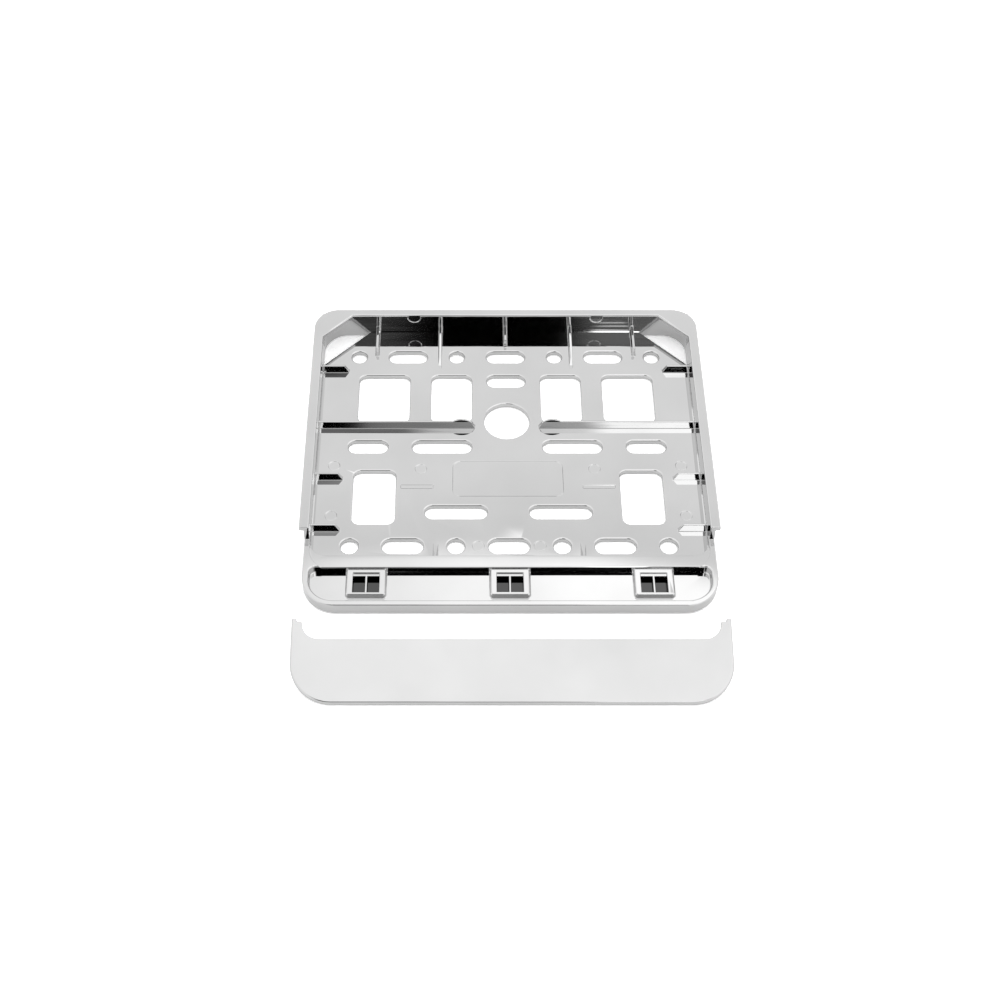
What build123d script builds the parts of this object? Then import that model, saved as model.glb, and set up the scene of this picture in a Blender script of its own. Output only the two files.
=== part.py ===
from build123d import *
import math
import os

# Number plate that the holder takes
plate_width = 200.0
plate_height = 160.0
plate_clearance = 0.3

# Heights above the back face
floor_thickness = 3.1
seat_height = 7.8
rim_height = 16.0

# Walls, rim and corners of the base
wall = 2.7
lip_overhang = 2.4
lip_thickness = 2.4
rim_radius = 13.2
corner_radius = 13.0
rim_stop = 12.8
tab_leg = 15.6
corner_opening = 25.2
well_front_radius = 9.0
front_radius = 17.5
foot_chamfer = 0.5
lip_chamfer = 0.6
lip_round = 0.9
rim_end_lean = 1.5
back_chamfer = 1.0

# Ridge and channel under the plate's lower edge
shelf_depth = 26.9
plate_rest = 3.3
ridge_width = 7.2
ridge_drop = 0.7
ridge_core = 1.7
recess_radius = 12.5
recess_reach = 1.5
front_wall = 3.4
front_chamfer = 0.7
channel_back_radius = 3.0
channel_front_radius = 12.5
channel_chamfer = 0.9
channel_foot = 0.7

# Fixing holes, rows measured from the back wall or from the ridge
hole_pitch = 26.9
hole_chamfer = 0.8
upper_hole = 8.2
lower_hole = 9.0
slot_length = 21.0
slot_width = 8.2
upper_row = 19.0
centre_slot_row = 36.8
cross_slot_row = 83.2
cross_outer_x = 73.6
cross_inner_x = 34.5
cross_inner_length = 31.5
low_slot_length = 32.3
low_slot_row = 30.4
lower_row = 8.9
cable_hole = 24.2
cable_row = 65.4

# Windows in the floor
window_radius = 4.0
window_height = 33.3
window_row = 49.4
outer_window_width = 27.6
outer_window_x = 66.1
inner_window_width = 21.9
inner_window_x = 29.65
low_window_width = 22.1
low_window_x = 69.4
low_window_base = 22.9
low_window_gap = 12.2

# Ribs that carry the plate
rib_top = 1.1
rib_lean = 0.5
rib_slope = 2.5
side_rib_length = 14.6
upper_rib_row = 29.8
middle_rib_row = 52.1
lower_rib_row = 18.9
long_rib_row = 69.8
long_rib_tip = 16.8
hump_length = 9.8
hump_height = 1.8
back_rib_top = 1.4
middle_back_rib = 12.0
inner_back_rib = 27.5
inner_back_rib_x = 36.1
outer_back_rib = 18.5
outer_back_rib_x = 70.9
back_rib_slope = 1.5
gusset_top = 1.0
gusset_foot = 2.6
gusset_length = 11.2
gusset_x = 37.2

# Shallow marks in the floor
mark_depth = 0.25
label_width = 57.4
label_gap = 6.1
label_round_share = 0.17
bar_length = 16.8
bar_width = 2.3
bar_x = 47.3
bar_drop = 5.3
pin_diameter = 6.0
pin_depth = 0.12
pin_inner_x = 45.4
pin_inner_drop = 15.2
pin_outer_x = 90.9
pin_outer_drop = 13.2
pin_lower_row = 27.9
pin_middle_x = 15.6
wall_mark_radius = 3.6
wall_mark_x = 50.6
wall_mark_drop = 1.8

# Sockets for the strip's hooks
socket_x = 71.2
collar_width = 20.2
collar_depth = 15.6
collar_height = 5.7
collar_wall = 1.8
collar_round = 1.5
collar_chamfer = 0.5
collar_lean = 0.55
pocket_width = 13.2
pocket_floor = 1.6
pocket_start = 2.1
catch_depth = 1.5
catch_top = 4.7
catch_thickness = 0.9
divider = 1.0

# Retaining strip
strip_depth = 3.9
strip_face = 2.0
strip_skirt = 2.2
strip_overhang = 2.4
strip_grip = 2.3
strip_fillet = 8.0
strip_round = 1.0
tip_gap = 0.3
tip_step = 1.6
hook_thickness = 2.0
hook_clearance = 0.3
hook_end_gap = 0.9
barb = 1.0
barb_height = 1.1
barb_land = 0.3
strip_apart = 11.0

# How far joined shapes reach into each other
bury = 0.5

# Places that follow from the sizes above
inner_half = plate_width / 2 + plate_clearance
body_half = inner_half + wall
rim_half = body_half + lip_overhang
base_depth = lip_overhang + wall + plate_clearance + plate_height + shelf_depth
rim_back = base_depth / 2
body_back = rim_back - lip_overhang
inner_back = body_back - wall
plate_low = inner_back - plate_clearance - plate_height
rim_end = plate_low + rim_stop
ridge_back = plate_low + plate_rest
ridge_front = ridge_back - ridge_width
base_front = -base_depth / 2
channel_front = base_front + front_wall
channel_half = body_half - front_wall
ridge_top = seat_height - ridge_drop


def outline(half_width, y_low, y_high, low_radius=0.0, high_radius=0.0):
    """Flat rectangle about the Y axis with its own radius at the front and back corners."""
    face = Pos(0, (y_low + y_high) / 2) * Rectangle(2 * half_width, y_high - y_low)
    if low_radius > 0:
        face = fillet(face.vertices().group_by(Axis.Y)[0], low_radius)
    if high_radius > 0:
        face = fillet(face.vertices().group_by(Axis.Y)[-1], high_radius)
    return face


def raised(face, z_low, z_high):
    """The flat face as a solid between two heights."""
    return extrude(Pos(0, 0, z_low) * face, z_high - z_low)


def hollow(face, z_low, z_high, foot):
    """A cutter between two heights that leaves a sloped foot along the walls."""
    solid = raised(face, z_low, z_high)
    return chamfer(solid.edges().group_by(Axis.Z)[0], foot)


def both_sides(x, y, face):
    """The same flat face on the left and on the right."""
    return [Pos(-x, y) * face, Pos(x, y) * face]


def side_plane(x):
    """A plane across X on which a shape is drawn as Y and Z."""
    return Plane(origin=(x, 0, 0), x_dir=(0, 1, 0), z_dir=(1, 0, 0))


def front_plane(x, y, z):
    """A plane that faces the front, on which a shape is drawn as X and Z."""
    return Plane(origin=(x, y, z), x_dir=(1, 0, 0), z_dir=(0, -1, 0))


def corner_face(side, corner, leg):
    """A flat triangle in a back corner, with two equal legs along the walls."""
    along_back = (corner[0] - side * leg, corner[1])
    along_side = (corner[0], corner[1] - leg)
    return make_face(Polyline(corner, along_back, along_side, close=True))


def tapered_rib(x_low, x_high, y_low, y_high, top_x_low, top_x_high, top_y_low, top_y_high):
    """A rib on the floor with leaning faces, level with the plate seat."""
    foot = Pos((x_low + x_high) / 2, (y_low + y_high) / 2) * Rectangle(x_high - x_low, y_high - y_low)
    top = Pos((top_x_low + top_x_high) / 2, (top_y_low + top_y_high) / 2)
    top = top * Rectangle(top_x_high - top_x_low, top_y_high - top_y_low)
    return loft([Pos(0, 0, floor_thickness) * foot, Pos(0, 0, seat_height) * top], ruled=True)


def cross_rib(side, tip, row):
    """A rib that runs in from a side wall and ends in a slope."""
    start = inner_half + wall / 2
    half_top = rib_top / 2
    half_foot = half_top + rib_lean
    foot = sorted((side * tip, side * start))
    top = sorted((side * (tip + rib_slope), side * start))
    return tapered_rib(foot[0], foot[1], row - half_foot, row + half_foot,
                       top[0], top[1], row - half_top, row + half_top)


def back_rib(x, length, slope):
    """A rib that runs forward from the back wall."""
    half_top = back_rib_top / 2
    half_foot = half_top + rib_lean / 2
    end = inner_back - length
    start = inner_back + wall / 2
    return tapered_rib(x - half_foot, x + half_foot, end, start,
                       x - half_top, x + half_top, end + slope, start)


# Places along Y that follow from the rows
upper_y = inner_back - upper_row
cross_y = inner_back - cross_slot_row
cable_y = inner_back - cable_row
window_y = inner_back - window_row
long_rib_y = inner_back - long_rib_row
low_slot_y = ridge_back + low_slot_row
low_window_low = ridge_back + low_window_base
low_window_high = cross_y - slot_width / 2 - low_window_gap
low_window_y = (low_window_low + low_window_high) / 2
low_window_height = low_window_high - low_window_low
lower_y = ridge_back + lower_row
label_y = (cross_y + low_slot_y) / 2
label_height = cross_y - low_slot_y - slot_width - 2 * label_gap
label_radius = label_round_share * label_height
bar_y = label_y - bar_drop

# Tray block with its well and channel
block_face = outline(body_half, base_front, body_back, front_radius, rim_radius - lip_overhang)
block = raised(block_face, 0, seat_height)
block = chamfer(block.edges().group_by(Axis.Z)[0], back_chamfer)
block = chamfer(block.edges().group_by(Axis.Z)[-1], front_chamfer)
well_face = outline(inner_half, ridge_back, inner_back, well_front_radius, corner_radius)
block -= hollow(well_face, floor_thickness, rim_height, foot_chamfer)
channel_face = outline(channel_half, channel_front, ridge_front, channel_front_radius, channel_back_radius)
block -= hollow(channel_face, floor_thickness, rim_height, channel_foot)
channel_edges = []
for edge in block.edges().group_by(Axis.Z)[-1]:
    box = edge.bounding_box()
    if box.min.Y > channel_front - bury and box.max.Y < ridge_front + bury:
        channel_edges.append(edge)
block = chamfer(channel_edges, channel_chamfer)

# Recess that lowers the ridge, with round front corners and a sloped front edge
recess_face = outline(inner_half, ridge_front - recess_reach, inner_back, recess_radius, corner_radius)
recess = raised(recess_face, floor_thickness, rim_height)
ridge_side = make_face(Polyline((ridge_front - recess_reach, ridge_top - channel_chamfer),
                                (ridge_front, ridge_top - channel_chamfer),
                                (ridge_front + channel_chamfer, ridge_top),
                                (inner_back, ridge_top), (inner_back, rim_height),
                                (ridge_front - recess_reach, rim_height), close=True))
block -= recess & extrude(side_plane(0) * ridge_side, inner_half, both=True)

# Holes and windows through the floor, with broken upper edges
holes = []
for step in range(-3, 4):
    if step % 2:
        holes.append(Pos(step * hole_pitch, upper_y) * Circle(upper_hole / 2))
        holes.append(Pos(step * hole_pitch, lower_y) * Circle(lower_hole / 2))
    else:
        holes.append(Pos(step * hole_pitch, upper_y) * SlotOverall(slot_length, slot_width))
        holes.append(Pos(step * hole_pitch, lower_y) * SlotOverall(slot_length, lower_hole))
holes.append(Pos(0, inner_back - centre_slot_row) * SlotOverall(slot_length, slot_width))
holes.append(Pos(0, cable_y) * Circle(cable_hole / 2))
holes += both_sides(cross_outer_x, cross_y, SlotOverall(slot_length, slot_width))
holes += both_sides(cross_inner_x, cross_y, SlotOverall(cross_inner_length, slot_width))
holes += both_sides(hole_pitch, low_slot_y, SlotOverall(low_slot_length, slot_width))
for x, y, width, height in ((outer_window_x, window_y, outer_window_width, window_height),
                            (inner_window_x, window_y, inner_window_width, window_height),
                            (low_window_x, low_window_y, low_window_width, low_window_height)):
    holes += both_sides(x, y, RectangleRounded(width, height, window_radius))
block -= [raised(hole, -bury, floor_thickness + bury) for hole in holes]
hole_edges = []
inset = foot_chamfer + bury
for edge in block.edges():
    box = edge.bounding_box()
    level = box.size.Z < 0.001 and abs(box.max.Z - floor_thickness) < 0.001
    inside = ridge_back + inset < box.min.Y and box.max.Y < inner_back - inset
    if level and inside and max(abs(box.min.X), abs(box.max.X)) < inner_half - inset:
        hole_edges.append(edge)
block = chamfer(hole_edges, hole_chamfer)

# Rim with its outward lip and the two corner tabs
lip_low = rim_height - lip_thickness
lip = raised(outline(rim_half, rim_end, rim_back, 0, rim_radius), lip_low, rim_height)
lip = chamfer(lip.edges().group_by(Axis.Z)[-1], lip_chamfer)
rim_face = outline(body_half, rim_end, body_back, 0, rim_radius - lip_overhang)
rim = raised(rim_face, floor_thickness + foot_chamfer, lip_low) + lip
rim -= raised(outline(inner_half, rim_end - bury, inner_back, 0, corner_radius), 0, rim_height + bury)
for side in (-1, 1):
    corner = (side * (inner_half + wall / 2), inner_back + wall / 2)
    leg = tab_leg + wall
    rim += raised(corner_face(side, corner, leg), lip_low, rim_height)
lip_edges = []
for edge in rim.edges().group_by(Axis.Z)[-1]:
    box = edge.bounding_box()
    if max(abs(box.min.X), abs(box.max.X)) < inner_half + 0.001 and box.max.Y < inner_back + 0.001:
        lip_edges.append(edge)
rim = fillet(lip_edges, lip_round)
end_cut = make_face(Polyline((rim_end, seat_height), (rim_end + rim_end_lean, rim_height),
                             (rim_end - wall, rim_height), (rim_end - wall, seat_height), close=True))
rim -= extrude(side_plane(0) * end_cut, rim_half + bury, both=True)
base = block + rim

# Openings in the floor under the tabs
for side in (-1, 1):
    opening = corner_face(side, (side * inner_half, inner_back), corner_opening) & well_face
    base -= raised(opening, -bury, floor_thickness + foot_chamfer + bury)

# Ribs, humps and gussets
gusset_end = ridge_back + gusset_length
gusset_slope = make_face(Polyline((ridge_back - wall, floor_thickness), (gusset_end, floor_thickness),
                                  (ridge_back, ridge_top), (ridge_back - wall, ridge_top), close=True))
gusset_face = make_face(Polyline((-gusset_foot / 2, floor_thickness), (gusset_foot / 2, floor_thickness),
                                 (gusset_top / 2, ridge_top), (-gusset_top / 2, ridge_top), close=True))
side_tip = inner_half - side_rib_length
hump_x = long_rib_tip + rib_slope + hump_length / 2
hump_radius = (hump_length ** 2 / 4 + hump_height ** 2) / (2 * hump_height)
hump_level = seat_height + hump_height - hump_radius
for side in (-1, 1):
    base += cross_rib(side, side_tip, inner_back - upper_rib_row)
    base += cross_rib(side, side_tip, ridge_back + middle_rib_row)
    base += cross_rib(side, side_tip, ridge_back + lower_rib_row)
    base += cross_rib(side, long_rib_tip, long_rib_y)
    hump = front_plane(side * hump_x, long_rib_y, hump_level) * Circle(hump_radius)
    hump = extrude(hump, rib_top / 2, both=True)
    hump &= Pos(side * hump_x, long_rib_y, seat_height) * Box(2 * hump_length, wall, 2 * hump_height)
    base += hump
    base += back_rib(side * inner_back_rib_x, inner_back_rib, rib_slope + back_rib_slope)
    base += back_rib(side * outer_back_rib_x, outer_back_rib, back_rib_slope)
    gusset = extrude(side_plane(side * gusset_x) * gusset_slope, gusset_foot, both=True)
    gusset &= extrude(front_plane(side * gusset_x, gusset_end, 0) * gusset_face, gusset_length + wall)
    base += gusset
base += back_rib(0, middle_back_rib, back_rib_slope)

# Label field, bars and pin marks, all shallow and bare
marks = [raised(Pos(0, label_y) * RectangleRounded(label_width, label_height, label_radius),
                floor_thickness - mark_depth, floor_thickness + mark_depth)]
for bar in both_sides(bar_x, bar_y, Rectangle(bar_length, bar_width)):
    marks.append(raised(bar, floor_thickness - mark_depth, floor_thickness + mark_depth))
for pin_x, pin_y in ((pin_inner_x, cross_y - pin_inner_drop), (pin_outer_x, cross_y - pin_outer_drop),
                     (pin_outer_x, ridge_back + pin_lower_row), (pin_middle_x, lower_y)):
    for pin in both_sides(pin_x, pin_y, Circle(pin_diameter / 2)):
        marks.append(raised(pin, floor_thickness - pin_depth, floor_thickness + pin_depth))
for side in (-1, 1):
    mark_plane = front_plane(side * wall_mark_x, inner_back, rim_height - wall_mark_drop)
    marks.append(extrude(mark_plane * Circle(wall_mark_radius), mark_depth, both=True))
base -= marks

# Hook sockets in the channel
collar_front = ridge_front - collar_depth
pocket_front = collar_front + collar_wall
pocket_back = ridge_front - pocket_start
catch_front = pocket_back - catch_depth
catch_low = catch_top - catch_thickness
collar_back = ridge_front + wall / 2
collar_draft = math.degrees(math.atan2(collar_lean, collar_height - floor_thickness))
for x in (-socket_x, 0, socket_x):
    collar = Pos(x, 0, floor_thickness) * outline(collar_width / 2, collar_front, collar_back, collar_round)
    collar = extrude(collar, collar_height - floor_thickness, taper=collar_draft)
    collar = chamfer(collar.edges().group_by(Axis.Z)[-1].sort_by(Axis.Y)[:-1], collar_chamfer)
    pocket = Pos(x, 0) * outline(pocket_width / 2, pocket_front, pocket_back)
    catch = Pos(x, 0) * outline(pocket_width / 2 + bury, catch_front, pocket_back + bury)
    split = Pos(x, 0) * outline(divider / 2, pocket_front - bury, pocket_back + bury)
    base += collar
    base -= raised(pocket, pocket_floor, collar_height + bury)
    base += raised(catch, catch_low, catch_top)
    base += raised(split, pocket_floor - bury, catch_top)

# Groove in the back face under the ridge
core_face = outline(ridge_core / 2, -channel_half + wall, channel_half - wall)
core = Pos(0, (ridge_back + ridge_front) / 2) * Rot(0, 0, 90) * core_face
base -= raised(core, -bury, ridge_top - ridge_core)

# Retaining strip as it sits on the base
strip_front = base_front - strip_overhang
strip_radius = front_radius + strip_overhang
strip_high = seat_height + strip_depth
strip_under = strip_high - strip_face
grip_edge = plate_low + strip_grip
tip_end = rim_end - tip_gap
tip_inner_end = tip_end - tip_step
strip = raised(outline(rim_half, strip_front, tip_end, strip_radius), seat_height, strip_high)
strip_edges = strip.edges().group_by(Axis.Z)[-1].sort_by(Axis.Y)
strip = fillet(strip_edges[:-1], strip_round)
strip -= raised(outline(inner_half, grip_edge, tip_end + bury, strip_fillet), 0, rim_height)
strip -= raised(outline(body_half, tip_inner_end, tip_end + bury), 0, rim_height)
strip -= raised(outline(inner_half, strip_front + strip_radius, tip_end + bury), 0, strip_under)
skirt_radius = strip_radius - strip_skirt
skirt_face = outline(rim_half - strip_skirt, strip_front + strip_skirt, grip_edge, skirt_radius)
strip -= raised(skirt_face, 0, strip_under)

# Hooks, two to a socket, with the barb under the catch
hook_low = pocket_floor + hook_end_gap
hook_back = catch_front - hook_clearance
hook_front = hook_back - hook_thickness
hook_width = (pocket_width - divider) / 2 - 2 * hook_clearance
barb_top = hook_low + barb_height
hook_side = make_face(Polyline((hook_front, strip_under + bury), (hook_front, hook_low),
                               (hook_back, hook_low), (hook_back + barb, barb_top - barb_land),
                               (hook_back + barb, barb_top), (hook_back, barb_top),
                               (hook_back, strip_under + bury), close=True))
for x in (-socket_x, 0, socket_x):
    for side in (-1, 1):
        hook_x = x + side * (divider / 2 + hook_clearance + hook_width / 2)
        strip += extrude(side_plane(hook_x) * hook_side, hook_width / 2, both=True)

# Strip taken off and laid in front of the base on its front edge and hooks
hook_drop = seat_height - hook_low
hook_reach = hook_front - strip_front
strip_tilt = math.degrees(math.atan2(hook_drop, hook_reach))
tip_reach = (tip_end - strip_front) * math.cos(math.radians(strip_tilt))
lay_y = base_front - strip_apart - tip_reach
laid_strip = Pos(0, lay_y, 0) * Rot(strip_tilt, 0, 0) * Pos(0, -strip_front, -seat_height) * strip

# One file for each piece
os.makedirs("parts", exist_ok=True)
export_step(base, "parts/holder_base.step")
export_step(laid_strip, "parts/retaining_strip.step")
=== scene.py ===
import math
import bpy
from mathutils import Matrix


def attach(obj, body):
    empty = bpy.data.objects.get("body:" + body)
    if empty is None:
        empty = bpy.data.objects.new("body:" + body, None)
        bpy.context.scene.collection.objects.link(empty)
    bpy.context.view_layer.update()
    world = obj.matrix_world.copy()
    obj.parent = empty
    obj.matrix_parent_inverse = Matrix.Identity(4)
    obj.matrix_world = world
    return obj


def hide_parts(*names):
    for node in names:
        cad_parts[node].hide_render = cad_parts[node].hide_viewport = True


bl_info = {
    "name": "Number plate holder",
    "version": (1, 0, 0),
    "blender": (4, 5, 0),
    "location": "3D View > Sidebar > Plate holder",
    "description": "Dresses a plated number plate holder and its retaining strip",
    "category": "Object",
}

import bmesh
import bpy

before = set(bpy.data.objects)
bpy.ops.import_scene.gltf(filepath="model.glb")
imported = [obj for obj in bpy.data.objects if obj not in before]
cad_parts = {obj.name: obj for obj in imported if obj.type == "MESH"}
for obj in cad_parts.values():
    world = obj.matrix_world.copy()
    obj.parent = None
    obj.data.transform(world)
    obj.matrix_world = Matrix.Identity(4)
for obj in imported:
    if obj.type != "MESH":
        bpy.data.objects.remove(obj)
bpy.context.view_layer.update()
MM = 0.001
BODY = "root"
PLATING_NAME = "chrome_plated_abs"

# Hook pockets of the base, where painted shade darkens the plating, a little inside their walls' outer
# faces
POCKET_PITCH = 71.2 * MM
POCKET_HALF = 6.7 * MM
POCKET_FRONT = -87.05 * MM
POCKET_BACK = -75.15 * MM
POCKET_LOW = 0.5 * MM
POCKET_TOP = 4.55 * MM

# Haze patches and mould streaks of the plating
HAZE_SIZE = 45 * MM
HAZE_RANGE = (0.35, 0.75)
STREAK_LENGTH = 60 * MM

# Faces that turn by less than this, in radians, lie in one plane
SAME_PLANE = 0.005

# Stage
TABLE_TOP = -0.2 * MM
SENSOR_WIDTH = 36.0

# Room walls and ceiling: each pair says where a part starts and where it is whole
# Heights are the sine of the elevation, and sides are the x part of the direction
PANEL_SIDES = (-0.1, 0.08)
WALL_HEIGHT = (0.785, 0.807)
PANEL_HEIGHT = (0.808, 0.817)
CEILING_HEIGHT = (0.90, 0.99)
SIDE_REACH = (0.35, 0.6)
SIDE_FOOT = (0.02, 0.1)
SIDE_TOP = (0.75, 0.6)

# Unlit side behind the camera, where places aside are x over the distance behind
BEHIND = (-0.05, -0.3)
NEAREST = 0.05
BORDER_HEIGHT = (0.84, 0.88)
BORDER_PLACE = (1.5, -0.065)
BORDER_FADE = (0.02, -0.02)
OUTER_PLACE = 0.6
REACH_HEIGHT = (0.78, 0.84)
REACH = (0.55, 0.9)
REACH_FADE = (1.25, 0.8)
DARK_FOOT = (0.40, 0.50)
DARK_TOP = (1.0, 0.83)

# Faint light left in it, on the left and on the right
FAINT_LEFT = (-0.03, -0.08)
FAINT_LEFT_LEVEL = 0.08
FAINT_RIGHT = (0.08, 0.13)
FAINT_RIGHT_LEVEL = 0.18
FAINT_FOOT = (0.69, 0.71)
FAINT_MIDDLE = (0.714, 0.728)
FAINT_MIDDLE_GAIN = 1.6
FAINT_TOP = (0.77, 0.80)

# Lit screen in the unlit side, the lamp at its right end, and a second lamp above
SCREEN_GRADE = (-0.085, 0.07)
SCREEN_START = 0.4
SCREEN_LEFT = (-0.088, -0.078)
SCREEN_RIGHT = (0.7, 0.5)
SCREEN_FOOT = (0.58, 0.59)
SCREEN_TOP = 0.63
LAMP_LEFT = (0.09, 0.118)
LAMP_TOP = 0.70
TOP_FADE = (-0.012, 0.012)
UPPER_LEFT = (0.16, 0.19)
UPPER_RIGHT = (0.8, 0.6)
UPPER_FOOT = (0.85, 0.865)
UPPER_TOP = (0.94, 0.925)


# Settings that a user would change
class HolderEdges(bpy.types.PropertyGroup):
    weld: bpy.props.FloatProperty(
        name="Weld", description="Distance at which the frame's loose corners are joined",
        default=0.002 * MM, unit="LENGTH", precision=6)
    flat_angle: bpy.props.FloatProperty(
        name="Flat angle", description="Faces that meet at less than this become one flat face",
        default=math.radians(0.3), subtype="ANGLE")
    sharp_angle: bpy.props.FloatProperty(
        name="Sharp angle", description="Edges that turn by more than this are broken",
        default=math.radians(50.0), subtype="ANGLE")
    width: bpy.props.FloatProperty(
        name="Edge width", description="Width of the soft edge that the plating leaves",
        default=0.3 * MM, unit="LENGTH", precision=6)
    segments: bpy.props.IntProperty(
        name="Edge segments", description="Steps across a soft edge", default=3, min=1, max=4)
    smooth_angle: bpy.props.FloatProperty(
        name="Smooth angle", description="Faces that meet at less than this are shaded as one",
        default=math.radians(52.0), subtype="ANGLE")
    curve_angle: bpy.props.FloatProperty(
        name="Curve angle", description="Facets of a curved face meet at less than this",
        default=math.radians(24.0), subtype="ANGLE")
    curve_share: bpy.props.FloatProperty(
        name="Curve share", description="Area that a neighbour needs, as a share, to count as such a facet",
        default=0.25, subtype="FACTOR")
    flat_width: bpy.props.FloatProperty(
        name="Flat width",
        description="Area over perimeter that a flat face needs to be shaded as a plain mirror",
        default=0.6 * MM, unit="LENGTH", precision=6)


class HolderPlating(bpy.types.PropertyGroup):
    colour: bpy.props.StringProperty(
        name="Colour", description="Bright plating seen straight on, as an sRGB hex value",
        default="#CBCBCB")
    dull: bpy.props.StringProperty(
        name="Dull colour", description="Slightly hazed plating, as an sRGB hex value", default="#C4C4C4")
    # Painted shade for the deep hook pockets, darker than the plating elsewhere
    pocket_painted_shade: bpy.props.StringProperty(
        name="Pocket tint", description="Thin dull plating deep in the hook pockets, as an sRGB hex value",
        default="#4A4A4A")
    roughness: bpy.props.FloatProperty(
        name="Roughness", description="Roughness of the brightest plating", default=0.035, subtype="FACTOR")
    haze: bpy.props.FloatProperty(
        name="Haze", description="Roughness of the hazed patches", default=0.05, subtype="FACTOR")
    wave_size: bpy.props.FloatProperty(
        name="Wave size", description="Length of the slow waves of the moulded skin",
        default=26 * MM, unit="LENGTH")
    wave_height: bpy.props.FloatProperty(
        name="Wave height", description="Height of the slow waves",
        default=0.012 * MM, unit="LENGTH", precision=6)
    streak_size: bpy.props.FloatProperty(
        name="Streak size", description="Height of the streaks that the mould leaves along upright walls",
        default=4 * MM, unit="LENGTH")
    streak_depth: bpy.props.FloatProperty(
        name="Streak depth", description="Depth of those streaks",
        default=0.05 * MM, unit="LENGTH", precision=6)
    peel_size: bpy.props.FloatProperty(
        name="Peel size", description="Length of the fine unevenness of the plating",
        default=2.4 * MM, unit="LENGTH")
    peel_height: bpy.props.FloatProperty(
        name="Peel height", description="Height of the fine unevenness",
        default=0.0004 * MM, unit="LENGTH", precision=7)


class HolderStage(bpy.types.PropertyGroup):
    camera_place: bpy.props.FloatVectorProperty(
        name="Camera place", description="Where the camera stands",
        default=(-21.3 * MM, -524.4 * MM, 650.1 * MM), subtype="XYZ", unit="LENGTH")
    camera_pitch: bpy.props.FloatProperty(
        name="Camera pitch", description="How far the camera looks down",
        default=math.radians(52.5), subtype="ANGLE")
    lens: bpy.props.FloatProperty(
        name="Lens", description="Focal length on a 36 mm sensor, in millimetres", default=56.96)
    shift: bpy.props.FloatProperty(
        name="Shift", description="Sideways lens shift that the framing needs", default=0.033)
    table_size: bpy.props.FloatProperty(
        name="Table size", description="Side of the table", default=8.0, unit="LENGTH")
    table_colour: bpy.props.StringProperty(
        name="Table colour", description="Plain table, as an sRGB hex value", default="#F6F6F6")
    table_extra: bpy.props.StringProperty(
        name="Table extra", description="What the eye sees on top of that, so that the open table is white",
        default="#DFDFDF")
    table_share: bpy.props.FloatProperty(
        name="Table share",
        description="Share of the table's white that shadows do not touch in the plating",
        default=0.3, subtype="FACTOR")
    sky_low: bpy.props.FloatProperty(
        name="Low sky", description="Strength of the white room round the table", default=1.11)
    sky_high: bpy.props.FloatProperty(
        name="High sky", description="Strength of the white room below its panels", default=1.0)
    side_gain: bpy.props.FloatProperty(
        name="Side gain", description="How much brighter the walls at the left and right are", default=0.15)
    panel_left: bpy.props.FloatProperty(
        name="Left panel", description="Strength of the ring of panels higher up, on the left", default=1.3)
    panel_right: bpy.props.FloatProperty(
        name="Right panel", description="Strength of the ring of panels higher up, on the right",
        default=1.7)
    top_level: bpy.props.FloatProperty(
        name="Top level", description="Strength of the ceiling straight overhead", default=1.4)
    screen_level: bpy.props.FloatProperty(
        name="Screen level", description="Strength of the lit screen low behind the camera", default=0.9)
    lamp_level: bpy.props.FloatProperty(
        name="Lamp level", description="Strength of the soft lamps at the right of that screen",
        default=2.75)


def linear_colour(text):
    """An sRGB hex value as a linear colour with full alpha."""
    parts = [int(text[i:i + 2], 16) / 255 for i in (1, 3, 5)]
    return [p / 12.92 if p <= 0.04045 else ((p + 0.055) / 1.055) ** 2.4 for p in parts] + [1.0]


def add_node(tree, kind, settings=None, values=None, links=None):
    """Adds one node, sets it up and links its sockets."""
    node = tree.nodes.new(kind)
    for name, value in (settings or {}).items():
        setattr(node, name, value)
    for name, value in (values or {}).items():
        node.inputs[name].default_value = value
    for name, source in (links or {}).items():
        tree.links.new(source, node.inputs[name])
    return node


def span(limits, levels=(0.0, 1.0)):
    """Two limits and the levels at them, under the names of a range's sockets."""
    return {"From Min": limits[0], "From Max": limits[1], "To Min": levels[0], "To Max": levels[1]}


def narrowed(tree, share, parts):
    """A share that fades out past each limit: a value, and the pair from none to whole."""
    for value, limits in parts:
        part = add_node(tree, "ShaderNodeMapRange", {"interpolation_type": "SMOOTHSTEP"}, span(limits),
                        {"Value": value}).outputs["Result"]
        share = add_node(tree, "ShaderNodeMath", {"operation": "MULTIPLY"},
                         links={0: share, 1: part}).outputs[0]
    return share


def select_only(piece):
    """Leaves one piece selected and active."""
    bpy.ops.object.select_all(action="DESELECT")
    piece.select_set(True)
    bpy.context.view_layer.objects.active = piece


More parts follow.
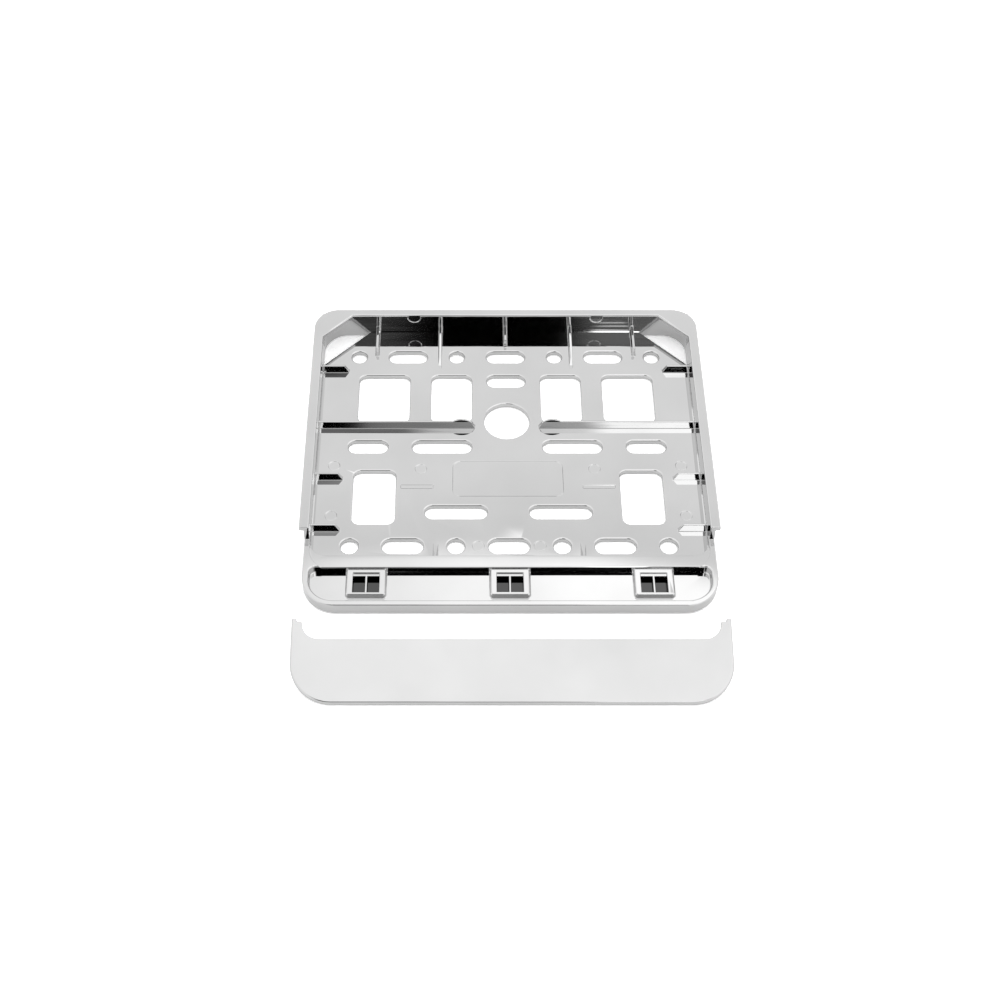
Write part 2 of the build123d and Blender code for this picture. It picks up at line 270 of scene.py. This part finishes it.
def plating_material(settings):
    """Bright chrome over nickel on injection-moulded ABS."""
    # To the eye it is a mirror with slow waves, streaks from the mould, a fine unevenness and faint haze,
    # with painted shade in the deep hook pockets
    material = bpy.data.materials.new(PLATING_NAME)
    material.use_nodes = True
    tree = material.node_tree
    tree.nodes.clear()
    place = add_node(tree, "ShaderNodeTexCoord").outputs["Object"]
    split = add_node(tree, "ShaderNodeSeparateXYZ", links={"Vector": place})
    haze = add_node(tree, "ShaderNodeTexNoise", values={"Scale": 1 / HAZE_SIZE, "Detail": 3.0},
                    links={"Vector": place})
    haze_share = add_node(tree, "ShaderNodeMapRange", values=span(HAZE_RANGE),
                          links={"Value": haze.outputs["Fac"]}).outputs["Result"]
    tint = add_node(tree, "ShaderNodeMix", {"data_type": "RGBA"}, {
        6: linear_colour(settings.colour), 7: linear_colour(settings.dull)}, {"Factor": haze_share})
    rough = add_node(tree, "ShaderNodeMapRange",
                     values={"To Min": settings.roughness, "To Max": settings.haze},
                     links={"Value": haze_share})

    # Painted shade: the plating is darkened to a dull grey inside the three hook pockets, where the deep
    # recess lies in shade
    across = add_node(tree, "ShaderNodeMath", {"operation": "WRAP"},
                      {1: POCKET_PITCH / 2, 2: -POCKET_PITCH / 2}, {0: split.outputs["X"]})
    across = add_node(tree, "ShaderNodeMath", {"operation": "ABSOLUTE"}, links={0: across.outputs[0]})
    deep = add_node(tree, "ShaderNodeMath", {"operation": "LESS_THAN"}, {1: POCKET_HALF},
                    {0: across.outputs[0]}).outputs[0]
    for axis, kind, edge in (("Y", "GREATER_THAN", POCKET_FRONT), ("Y", "LESS_THAN", POCKET_BACK),
                             ("Z", "LESS_THAN", POCKET_TOP), ("Z", "GREATER_THAN", POCKET_LOW)):
        inside = add_node(tree, "ShaderNodeMath", {"operation": kind}, {1: edge}, {0: split.outputs[axis]})
        deep = add_node(tree, "ShaderNodeMath", {"operation": "MULTIPLY"},
                        links={0: deep, 1: inside.outputs[0]}).outputs[0]
    tint = add_node(tree, "ShaderNodeMix", {"data_type": "RGBA"}, {7: linear_colour(settings.pocket_painted_shade)},
                    {"Factor": deep, 6: tint.outputs[2]})

    # Slow waves, streaks along upright walls, and the fine unevenness on top
    drawn = add_node(tree, "ShaderNodeMapping",
                     values={"Scale": (1 / STREAK_LENGTH, 1 / STREAK_LENGTH, 1 / settings.streak_size)},
                     links={"Vector": place}).outputs["Vector"]
    relief = {}
    for vector, scale, detail, height in ((place, 1 / settings.wave_size, 1.0, settings.wave_height),
                                          (drawn, 1.0, 1.0, settings.streak_depth),
                                          (place, 1 / settings.peel_size, 2.0, settings.peel_height)):
        pattern = add_node(tree, "ShaderNodeTexNoise", values={"Scale": scale, "Detail": detail},
                           links={"Vector": vector})
        bump = add_node(tree, "ShaderNodeBump", values={"Strength": 1.0, "Distance": height},
                        links={"Height": pattern.outputs["Fac"], **relief})
        relief = {"Normal": bump.outputs["Normal"]}
    shader = add_node(tree, "ShaderNodeBsdfPrincipled", values={"Metallic": 1.0},
                      links={"Base Color": tint.outputs[2], "Roughness": rough.outputs["Result"], **relief})
    add_node(tree, "ShaderNodeOutputMaterial", links={"Surface": shader.outputs["BSDF"]})
    return material


def flatten(mesh, edges):
    """Gives flat faces one normal each, that of most of their area; outer edges and curves stay smooth."""
    normals = [corner.vector.copy() for corner in mesh.corner_normals]
    shares = {}
    mesh.calc_loop_triangles()
    for part in mesh.loop_triangles:
        share = shares.setdefault(part.polygon_index, {})
        direction = tuple(round(value, 3) for value in part.normal)
        share[direction] = share.get(direction, 0.0) + part.area
    shape = bmesh.new()
    shape.from_mesh(mesh)
    for face in shape.faces:
        area = face.calc_area()
        beside = [other for edge in face.edges for other in edge.link_faces if other is not face]
        facets = [other.calc_area() for other in beside
                  if SAME_PLANE < face.normal.angle(other.normal, 0.0) < edges.curve_angle]
        longest = max(face.edges, key=bmesh.types.BMEdge.calc_length)
        inner = longest.calc_face_angle_signed(0.0) < 0.0
        wide = area > edges.flat_width * face.calc_perimeter()
        if (wide or inner) and max(facets, default=0.0) < edges.curve_share * area:
            share = shares[face.index]
            for corner in mesh.polygons[face.index].loop_indices:
                normals[corner] = max(share, key=share.get)
    shape.free()
    mesh.normals_split_custom_set(normals)


def plated_piece(context, node_name, piece_name):
    """A welded copy of a frame node with soft edges and plating, which stands for that node."""
    edges = context.scene.holder_edges
    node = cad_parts[node_name]
    mesh = node.data.copy()
    mesh.name = piece_name
    piece = bpy.data.objects.new(piece_name, mesh)
    context.scene.collection.objects.link(piece)
    select_only(piece)
    bpy.ops.object.mode_set(mode="EDIT")
    bpy.ops.mesh.select_mode(type="EDGE")
    bpy.ops.mesh.select_all(action="SELECT")
    bpy.ops.mesh.remove_doubles(threshold=edges.weld)
    bpy.ops.mesh.dissolve_limited(angle_limit=edges.flat_angle)
    bpy.ops.mesh.select_all(action="DESELECT")
    bpy.ops.mesh.edges_select_sharp(sharpness=edges.sharp_angle)
    bpy.ops.mesh.bevel(offset=edges.width, segments=edges.segments, affect="EDGES", clamp_overlap=False)
    bpy.ops.object.mode_set(mode="OBJECT")

    # No soft edge stands out of the node's own box
    low, high = node.bound_box[0], node.bound_box[6]
    for corner in mesh.vertices:
        corner.co = [min(max(corner.co[i], low[i]), high[i]) for i in range(3)]
    bpy.ops.object.shade_smooth_by_angle(angle=edges.smooth_angle)
    weigh = piece.modifiers.new("Weighted normals", "WEIGHTED_NORMAL")
    weigh.keep_sharp = True
    bpy.ops.object.modifier_apply(modifier=weigh.name)
    flatten(mesh, edges)
    mesh.materials.clear()
    plating = bpy.data.materials.get(PLATING_NAME) or plating_material(context.scene.holder_plating)
    mesh.materials.append(plating)
    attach(piece, BODY)
    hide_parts(node_name)


class HOLDER_OT_base(bpy.types.Operator):
    """Makes the plated base tray"""
    bl_idname = "holder.base"
    bl_label = "Base tray"

    def execute(self, context):
        plated_piece(context, "holder_base", "base_tray")
        return {"FINISHED"}


class HOLDER_OT_strip(bpy.types.Operator):
    """Makes the plated retaining strip"""
    bl_idname = "holder.strip"
    bl_label = "Retaining strip"

    def execute(self, context):
        plated_piece(context, "retaining_strip", "clip_strip")
        return {"FINISHED"}


def table_material(settings):
    """Plain matt table that shows white to the eye and in the plating, and keeps a faint shadow."""
    material = bpy.data.materials.new("matt_white_table")
    material.use_nodes = True
    tree = material.node_tree
    tree.nodes.clear()
    path = add_node(tree, "ShaderNodeLightPath").outputs
    matt = add_node(tree, "ShaderNodeBsdfDiffuse",
                    values={"Color": linear_colour(settings.table_colour)}).outputs[0]
    extra = add_node(tree, "ShaderNodeBsdfDiffuse",
                     values={"Color": linear_colour(settings.table_extra)}).outputs[0]
    bright = add_node(tree, "ShaderNodeAddShader", links={0: matt, 1: extra}).outputs[0]
    seen = add_node(tree, "ShaderNodeMixShader",
                    links={0: path["Is Camera Ray"], 1: matt, 2: bright}).outputs[0]
    mirrored = add_node(tree, "ShaderNodeMath", {"operation": "MAXIMUM"},
                        links={0: path["Is Glossy Ray"], 1: path["Is Transmission Ray"]}).outputs[0]
    share = add_node(tree, "ShaderNodeMath", {"operation": "MULTIPLY"}, {1: settings.table_share},
                     {0: mirrored}).outputs[0]
    glow = add_node(tree, "ShaderNodeEmission", values={"Strength": 1.0}).outputs[0]
    mix = add_node(tree, "ShaderNodeMixShader", links={0: share, 1: seen, 2: glow}).outputs[0]
    add_node(tree, "ShaderNodeOutputMaterial", links={"Surface": mix})
    return material


def room_world(settings):
    """White room with brighter panels above and an unlit side behind the camera, by direction alone."""
    world = bpy.data.worlds.new("white_room")
    world.use_nodes = True
    tree = world.node_tree
    tree.nodes.clear()
    coordinate = add_node(tree, "ShaderNodeTexCoord")
    split = add_node(tree, "ShaderNodeSeparateXYZ", links={"Vector": coordinate.outputs["Generated"]})
    right, far, up = split.outputs["X"], split.outputs["Y"], split.outputs["Z"]
    soft = {"interpolation_type": "SMOOTHSTEP"}

    # Light by height: plain walls, a bright ring of panels, a calmer ceiling
    panel = add_node(tree, "ShaderNodeMapRange", None,
                     span(PANEL_SIDES, (settings.panel_left, settings.panel_right)),
                     {"Value": right}).outputs["Result"]
    light = add_node(tree, "ShaderNodeMapRange", None,
                     span(WALL_HEIGHT, (settings.sky_low, settings.sky_high)),
                     {"Value": up}).outputs["Result"]
    light = add_node(tree, "ShaderNodeMapRange", soft, span(PANEL_HEIGHT),
                     {"Value": up, "To Min": light, "To Max": panel}).outputs["Result"]
    light = add_node(tree, "ShaderNodeMapRange", soft, span(CEILING_HEIGHT, (0.0, settings.top_level)),
                     {"Value": up, "To Min": light}).outputs["Result"]

    # Brighter walls at the left and right, low down
    gain = add_node(tree, "ShaderNodeMath", {"operation": "ABSOLUTE"}, links={0: right}).outputs[0]
    gain = add_node(tree, "ShaderNodeMapRange", soft, span(SIDE_REACH, (0.0, settings.side_gain)),
                    {"Value": gain}).outputs["Result"]
    gain = narrowed(tree, gain, ((up, SIDE_FOOT), (up, SIDE_TOP)))
    light = add_node(tree, "ShaderNodeMath", {"operation": "MULTIPLY_ADD"},
                     links={0: light, 1: gain, 2: light}).outputs[0]

    # Unlit side behind the camera, narrower high up
    near = add_node(tree, "ShaderNodeMath", {"operation": "MULTIPLY"}, {1: -1.0}, {0: far}).outputs[0]
    near = add_node(tree, "ShaderNodeMath", {"operation": "MAXIMUM"}, {1: NEAREST}, {0: near}).outputs[0]
    aside = add_node(tree, "ShaderNodeMath", {"operation": "DIVIDE"}, links={0: right, 1: near}).outputs[0]
    behind = add_node(tree, "ShaderNodeMapRange", soft, span(BEHIND), {"Value": far}).outputs["Result"]
    border = add_node(tree, "ShaderNodeMapRange", soft, span(BORDER_HEIGHT, BORDER_PLACE),
                      {"Value": up}).outputs["Result"]
    beyond = add_node(tree, "ShaderNodeMath", {"operation": "SUBTRACT"},
                      links={0: aside, 1: border}).outputs[0]
    outer = add_node(tree, "ShaderNodeMath", {"operation": "SUBTRACT"}, {0: OUTER_PLACE},
                     {1: aside}).outputs[0]
    beyond = add_node(tree, "ShaderNodeMath", {"operation": "MINIMUM"},
                      links={0: beyond, 1: outer}).outputs[0]
    reach = add_node(tree, "ShaderNodeMapRange", soft, span(REACH_HEIGHT, REACH),
                     {"Value": up}).outputs["Result"]
    apart = add_node(tree, "ShaderNodeMath", {"operation": "ABSOLUTE"}, links={0: aside}).outputs[0]
    apart = add_node(tree, "ShaderNodeMath", {"operation": "DIVIDE"}, links={0: apart, 1: reach}).outputs[0]
    dark = narrowed(tree, behind, ((beyond, BORDER_FADE), (apart, REACH_FADE), (up, DARK_FOOT),
                                   (up, DARK_TOP)))

    # Faint light that is left there, strongest at middle height
    faint = add_node(tree, "ShaderNodeMapRange", soft, span(FAINT_LEFT, (0.0, FAINT_LEFT_LEVEL)),
                     {"Value": aside}).outputs["Result"]
    faint = add_node(tree, "ShaderNodeMapRange", soft, span(FAINT_RIGHT, (0.0, FAINT_RIGHT_LEVEL)),
                     {"Value": aside, "To Min": faint}).outputs["Result"]
    faint = add_node(tree, "ShaderNodeMapRange", soft, span(FAINT_FOOT),
                     {"Value": up, "To Max": faint}).outputs["Result"]
    lifted = add_node(tree, "ShaderNodeMath", {"operation": "MULTIPLY"}, {1: FAINT_MIDDLE_GAIN},
                      {0: faint}).outputs[0]
    faint = add_node(tree, "ShaderNodeMapRange", soft, span(FAINT_MIDDLE),
                     {"Value": up, "To Min": faint, "To Max": lifted}).outputs["Result"]
    faint = add_node(tree, "ShaderNodeMapRange", soft, span(FAINT_TOP, (0.0, 0.0)),
                     {"Value": up, "To Min": faint}).outputs["Result"]
    light = add_node(tree, "ShaderNodeMix", {"data_type": "FLOAT"},
                     links={0: dark, 2: light, 3: faint}).outputs[0]

    # Lit screen low behind the camera, and a soft lamp at its right end
    screen = add_node(tree, "ShaderNodeMapRange", None,
                      span(SCREEN_GRADE, (SCREEN_START * settings.screen_level, settings.screen_level)),
                      {"Value": aside}).outputs["Result"]
    lamp = add_node(tree, "ShaderNodeMapRange", soft, span(LAMP_LEFT), {"Value": aside}).outputs["Result"]
    level = add_node(tree, "ShaderNodeMix", {"data_type": "FLOAT"}, {3: settings.lamp_level},
                     {0: lamp, 2: screen}).outputs[0]
    top = add_node(tree, "ShaderNodeMapRange", None, {"To Min": SCREEN_TOP, "To Max": LAMP_TOP},
                   {"Value": lamp}).outputs["Result"]
    below = add_node(tree, "ShaderNodeMath", {"operation": "SUBTRACT"}, links={0: top, 1: up}).outputs[0]
    shown = narrowed(tree, behind, ((aside, SCREEN_LEFT), (aside, SCREEN_RIGHT), (up, SCREEN_FOOT),
                                    (below, TOP_FADE)))
    light = add_node(tree, "ShaderNodeMix", {"data_type": "FLOAT"},
                     links={0: shown, 2: light, 3: level}).outputs[0]

    # Second lamp above the first
    shown = narrowed(tree, behind, ((aside, UPPER_LEFT), (aside, UPPER_RIGHT), (up, UPPER_FOOT),
                                    (up, UPPER_TOP)))
    light = add_node(tree, "ShaderNodeMix", {"data_type": "FLOAT"}, {3: settings.lamp_level},
                     {0: shown, 2: light}).outputs[0]
    back = add_node(tree, "ShaderNodeBackground", values={"Color": linear_colour("#FFFFFF")},
                    links={"Strength": light})
    add_node(tree, "ShaderNodeOutputWorld", links={"Surface": back.outputs["Background"]})
    return world


class HOLDER_OT_stage(bpy.types.Operator):
    """Makes the table, the white room that lights it, and the camera"""
    bl_idname = "holder.stage"
    bl_label = "Stage"

    def execute(self, context):
        scene = context.scene
        settings = scene.holder_stage
        bpy.ops.object.select_all(action="DESELECT")
        bpy.ops.mesh.primitive_plane_add(size=settings.table_size, location=(0, 0, TABLE_TOP))
        table = context.active_object
        table.name = "table"
        table.data.materials.append(table_material(settings))

        scene.world = room_world(settings)
        bpy.ops.object.camera_add(location=settings.camera_place,
                                  rotation=(math.pi / 2 - settings.camera_pitch, 0, 0))
        camera = context.active_object
        camera.data.lens = settings.lens
        camera.data.sensor_width = SENSOR_WIDTH
        camera.data.shift_x = settings.shift
        scene.camera = camera
        scene.view_settings.view_transform = "Standard"
        return {"FINISHED"}


class HOLDER_PT_panel(bpy.types.Panel):
    bl_label = "Plate holder"
    bl_idname = "HOLDER_PT_panel"
    bl_space_type = "VIEW_3D"
    bl_region_type = "UI"
    bl_category = "Plate holder"

    def draw(self, context):
        column = self.layout.column()
        for name in ("holder.base", "holder.strip", "holder.stage"):
            column.operator(name)
        for group in (context.scene.holder_edges, context.scene.holder_plating, context.scene.holder_stage):
            for name in group.bl_rna.properties.keys():
                if name not in ("rna_type", "name"):
                    column.prop(group, name)


CLASSES = (HolderEdges, HolderPlating, HolderStage,
           HOLDER_OT_base, HOLDER_OT_strip, HOLDER_OT_stage, HOLDER_PT_panel)


def register():
    for item in CLASSES:
        bpy.utils.register_class(item)
    bpy.types.Scene.holder_edges = bpy.props.PointerProperty(type=HolderEdges)
    bpy.types.Scene.holder_plating = bpy.props.PointerProperty(type=HolderPlating)
    bpy.types.Scene.holder_stage = bpy.props.PointerProperty(type=HolderStage)


def unregister():
    del bpy.types.Scene.holder_edges
    del bpy.types.Scene.holder_plating
    del bpy.types.Scene.holder_stage
    for item in reversed(CLASSES):
        bpy.utils.unregister_class(item)


def main():
    register()
    bpy.ops.holder.base()
    bpy.ops.holder.strip()
    bpy.ops.holder.stage()


if __name__ == "__main__":
    main()
